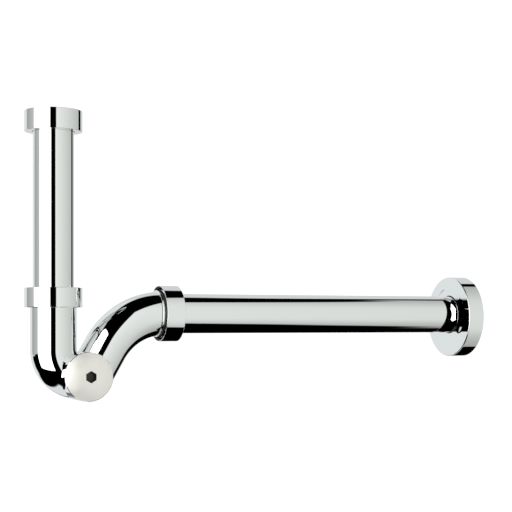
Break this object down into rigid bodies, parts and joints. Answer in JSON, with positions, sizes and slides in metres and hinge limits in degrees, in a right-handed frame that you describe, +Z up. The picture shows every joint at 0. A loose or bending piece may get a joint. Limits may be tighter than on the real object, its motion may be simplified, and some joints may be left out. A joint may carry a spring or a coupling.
{
  "type": "p trap",
  "caption": "Chromed tubular P trap for a wash basin: inlet tube with union nut, bent trap with cleanout plug, slip-jointed outlet tube and wall rosette.",
  "frame": {"origin": "centre of the inlet nut's mouth, where the basin waste screws in", "axes": "+Z up along the inlet tube, +X along the outlet tube towards the wall, trap in the plane Y = 0"},
  "size_m": [0.4065, 0.07, 0.2256],
  "materials": {
    "chrome": "polished chrome plate on machined brass",
    "chrome_tube": "polished chrome plate on drawn brass tube",
    "chrome_cast": "polished chrome plate on cast brass",
    "chrome_sheet": "polished chrome plate on pressed sheet",
    "satin_nickel": "satin nickel, faintly warm",
    "rubber": "matt black rubber",
    "nylon": "natural white nylon"
  },
  "bodies": {
    "inlet_tube": {"inlet_tube": "chrome_tube", "inlet_gasket": "rubber"},
    "inlet_slip_ring": {"inlet_slip_ring": "nylon"},
    "inlet_nut": {"inlet_nut": "chrome"},
    "leg_seal": {"leg_seal": "rubber"},
    "trap_body": {"leg_elbow": "chrome_tube", "cleanout_housing": "chrome_cast", "outlet_bend": "chrome_tube", "leg_collar": "chrome_cast", "outlet_collar": "chrome_cast"},
    "leg_slip_ring": {"leg_slip_ring": "nylon"},
    "leg_nut": {"leg_nut": "chrome"},
    "outlet_seal": {"outlet_seal": "rubber"},
    "outlet_tube": {"outlet_tube": "chrome_tube"},
    "wall_rosette": {"wall_rosette": "chrome_sheet", "rosette_grip_ring": "rubber"},
    "outlet_slip_ring": {"outlet_slip_ring": "nylon"},
    "outlet_nut": {"outlet_nut": "chrome"},
    "plug_seal": {"cleanout_o_ring": "rubber"},
    "cleanout_plug": {"cleanout_plug": "satin_nickel"}
  },
  "joints": [
    {"name": "inlet_nut_drop", "type": "slide", "parent": "inlet_tube", "child": "inlet_slip_ring", "axis": [0, 0, 1], "range_m": [-0.085, 0]},
    {"name": "inlet_nut_turn", "type": "hinge", "parent": "inlet_slip_ring", "child": "inlet_nut", "pos_m": [0, 0, 0], "axis": [0, 0, 1], "continuous": true},
    {"name": "trap_height", "type": "slide", "parent": "inlet_tube", "child": "leg_seal", "axis": [0, 0, 1], "range_m": [-0.012, 0.018]},
    {"name": "trap_swivel", "type": "hinge", "parent": "leg_seal", "child": "trap_body", "pos_m": [0, 0, -0.1575], "axis": [0, 0, 1], "continuous": true},
    {"name": "leg_nut_travel", "type": "slide", "parent": "trap_body", "child": "leg_slip_ring", "axis": [0, 0, 1], "range_m": [0, 0.00924]},
    {"name": "leg_nut_turn", "type": "hinge", "parent": "leg_slip_ring", "child": "leg_nut", "pos_m": [0, 0, -0.145], "axis": [0, 0, 1], "range_deg": [-1, 1441]},
    {"name": "outlet_swivel", "type": "hinge", "parent": "trap_body", "child": "outlet_seal", "pos_m": [0.0963, 0, -0.1575], "axis": [1, 0, 0], "continuous": true},
    {"name": "outlet_slide", "type": "slide", "parent": "outlet_seal", "child": "outlet_tube", "axis": [1, 0, 0], "range_m": [-0.002, 0.004]},
    {"name": "rosette_slide", "type": "slide", "parent": "outlet_tube", "child": "wall_rosette", "axis": [1, 0, 0], "range_m": [-0.2, 0.006]},
    {"name": "outlet_nut_travel", "type": "slide", "parent": "trap_body", "child": "outlet_slip_ring", "axis": [1, 0, 0], "range_m": [0, 0.00924]},
    {"name": "outlet_nut_turn", "type": "hinge", "parent": "outlet_slip_ring", "child": "outlet_nut", "pos_m": [0.095, 0, -0.1575], "axis": [1, 0, 0], "range_deg": [-1, 1441]},
    {"name": "plug_travel", "type": "slide", "parent": "trap_body", "child": "plug_seal", "axis": [0, -1, 0], "range_m": [0, 0.01]},
    {"name": "plug_turn", "type": "hinge", "parent": "plug_seal", "child": "cleanout_plug", "pos_m": [0.021, -0.025, -0.2065], "axis": [0, -1, 0], "range_deg": [-1, 1801]}
  ],
  "couplings": [
    {"joint": "leg_nut_turn", "follows": "leg_nut_travel", "rad_per_m": 2721.2},
    {"joint": "outlet_nut_turn", "follows": "outlet_nut_travel", "rad_per_m": 2721.2},
    {"joint": "plug_turn", "follows": "plug_travel", "rad_per_m": 3141.6}
  ]
}
